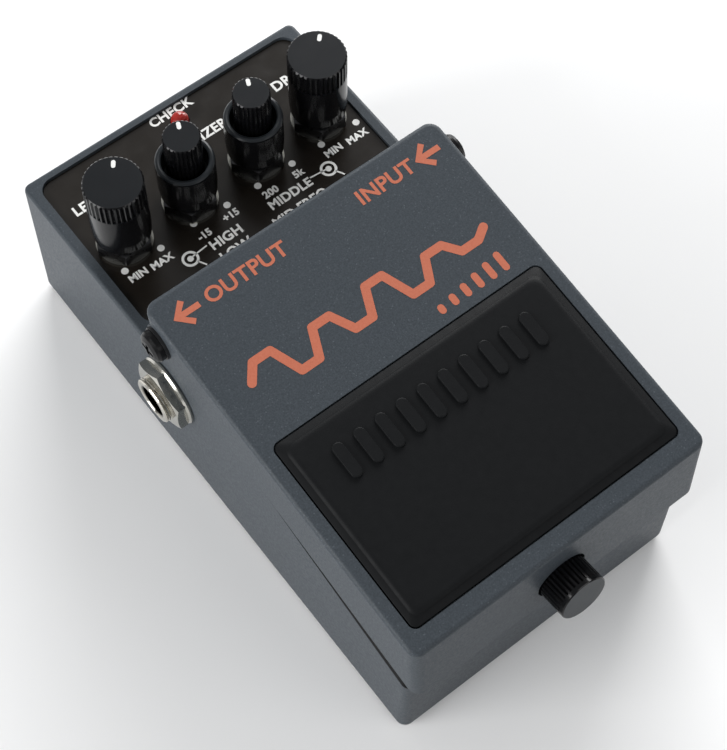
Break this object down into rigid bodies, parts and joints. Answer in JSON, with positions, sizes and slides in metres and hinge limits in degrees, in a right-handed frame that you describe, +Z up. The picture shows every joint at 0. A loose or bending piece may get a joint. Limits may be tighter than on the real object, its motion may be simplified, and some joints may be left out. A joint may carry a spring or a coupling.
{
  "type": "guitar effects pedal",
  "caption": "Compact foot pedal for electric guitar: die-cast case, sprung hinged tread plate, knob deck with concentric controls, side jacks and thumbscrew.",
  "frame": {"origin": "centre of the rubber base's underside", "axes": "+Z up, +Y from the player's foot towards the knobs, +X to the player's right"},
  "size_m": [0.073, 0.1299, 0.059],
  "materials": {
    "case_paint": "die casting under fine metallic blue-grey paint, satin",
    "cover_steel": "zinc-plated sheet steel",
    "base_rubber": "matte black rubber sheet",
    "screw_steel": "zinc-plated screws",
    "black_screw": "black oxide screws, satin",
    "panel_print": "glossy brown-black panel with white scale print",
    "circuit_board": "green solder-masked board",
    "chip_plastic": "moulded component bodies",
    "can_sleeve": "sleeved electrolytic cans",
    "pot_metal": "plated control housings and shafts",
    "nut_nickel": "bright nickel plate",
    "led_red": "tinted clear lens",
    "black_plastic": "moulded black plastic",
    "knob_plastic": "black moulded knobs, matte tops with white pointer",
    "battery_jacket": "plain dark battery jacket",
    "switch_plastic": "switch body",
    "spring_steel": "bright spring wire",
    "tread_rubber": "black moulded rubber with a raised bar pattern",
    "bush_nylon": "black nylon"
  },
  "bodies": {
    "case": {"chassis": "case_paint", "bottom_cover": "cover_steel", "base_pad": "base_rubber", "cover_screws": "screw_steel", "board_screws": "screw_steel", "control_panel": "panel_print", "main_board": "circuit_board", "pot_board": "circuit_board", "board_chips": "chip_plastic", "board_capacitors": "can_sleeve", "level_pot": "pot_metal", "treble_bass_pot": "pot_metal", "mid_pot": "pot_metal", "drive_pot": "pot_metal", "pot_nuts": "nut_nickel", "pot_washers": "nut_nickel", "status_led": "led_red", "led_spacer": "black_plastic", "output_jack_housing": "black_plastic", "output_jack_bushing": "nut_nickel", "output_jack_washer": "nut_nickel", "output_jack_nut": "nut_nickel", "input_jack_housing": "black_plastic", "input_jack_bushing": "nut_nickel", "input_jack_washer": "nut_nickel", "input_jack_nut": "nut_nickel", "power_inlet": "black_plastic", "power_inlet_pin": "nut_nickel", "battery": "battery_jacket", "battery_snap": "black_plastic", "switch_bracket": "screw_steel", "switch_housing": "switch_plastic", "return_spring": "spring_steel", "hinge_screws": "black_screw", "thumbscrew_guide": "black_plastic"},
    "pedal": {"pedal_plate": "case_paint", "tread_pad": "tread_rubber", "switch_bumper": "base_rubber", "hinge_bushings": "bush_nylon"},
    "thumbscrew": {"thumbscrew_knob": "knob_plastic", "thumbscrew_shaft": "screw_steel", "thumbscrew_clip": "spring_steel"},
    "foot_switch_button": {"switch_button": "switch_plastic"},
    "level_control": {"level_knob": "knob_plastic", "level_shaft": "pot_metal"},
    "drive_control": {"drive_knob": "knob_plastic", "drive_shaft": "pot_metal"},
    "bass_control": {"bass_knob": "knob_plastic", "bass_shaft": "pot_metal"},
    "treble_control": {"treble_knob": "knob_plastic", "treble_shaft": "pot_metal"},
    "mid_frequency_control": {"mid_frequency_knob": "knob_plastic", "mid_frequency_shaft": "pot_metal"},
    "mid_control": {"mid_knob": "knob_plastic", "mid_shaft": "pot_metal"}
  },
  "joints": [
    {"name": "pedal_hinge", "type": "hinge", "parent": "case", "child": "pedal", "pos_m": [0, 0.0113, 0.049], "axis": [-1, 0, 0], "range_deg": [-2.2, 70], "stiffness_Nm_per_rad": 0.5, "springref_deg": 1.72, "deforming": ["return_spring"]},
    {"name": "thumbscrew_turn", "type": "hinge", "parent": "pedal", "child": "thumbscrew", "pos_m": [0, -0.06824, 0.0364], "axis": [0, -0.9877, 0.1564], "continuous": true},
    {"name": "foot_switch_press", "type": "slide", "parent": "case", "child": "foot_switch_button", "axis": [0, 0, 1], "range_m": [-0.0003, 0], "stiffness_N_per_m": 200},
    {"name": "level_turn", "type": "hinge", "parent": "case", "child": "level_control", "pos_m": [-0.0229, 0.0385, 0.0403], "axis": [0, 0, 1], "range_deg": [-114, 186]},
    {"name": "drive_turn", "type": "hinge", "parent": "case", "child": "drive_control", "pos_m": [0.0229, 0.0385, 0.0403], "axis": [0, 0, 1], "range_deg": [-106, 194]},
    {"name": "treble_turn", "type": "hinge", "parent": "case", "child": "treble_control", "pos_m": [-0.0078, 0.0385, 0.0403], "axis": [0, 0, 1], "range_deg": [-126, 174]},
    {"name": "bass_turn", "type": "hinge", "parent": "case", "child": "bass_control", "pos_m": [-0.0078, 0.0385, 0.0403], "axis": [0, 0, 1], "range_deg": [-150, 150]},
    {"name": "mid_turn", "type": "hinge", "parent": "case", "child": "mid_control", "pos_m": [0.0078, 0.0385, 0.0403], "axis": [0, 0, 1], "range_deg": [-126, 174]},
    {"name": "mid_frequency_turn", "type": "hinge", "parent": "case", "child": "mid_frequency_control", "pos_m": [0.0078, 0.0385, 0.0403], "axis": [0, 0, 1], "range_deg": [-150, 150]}
  ]
}
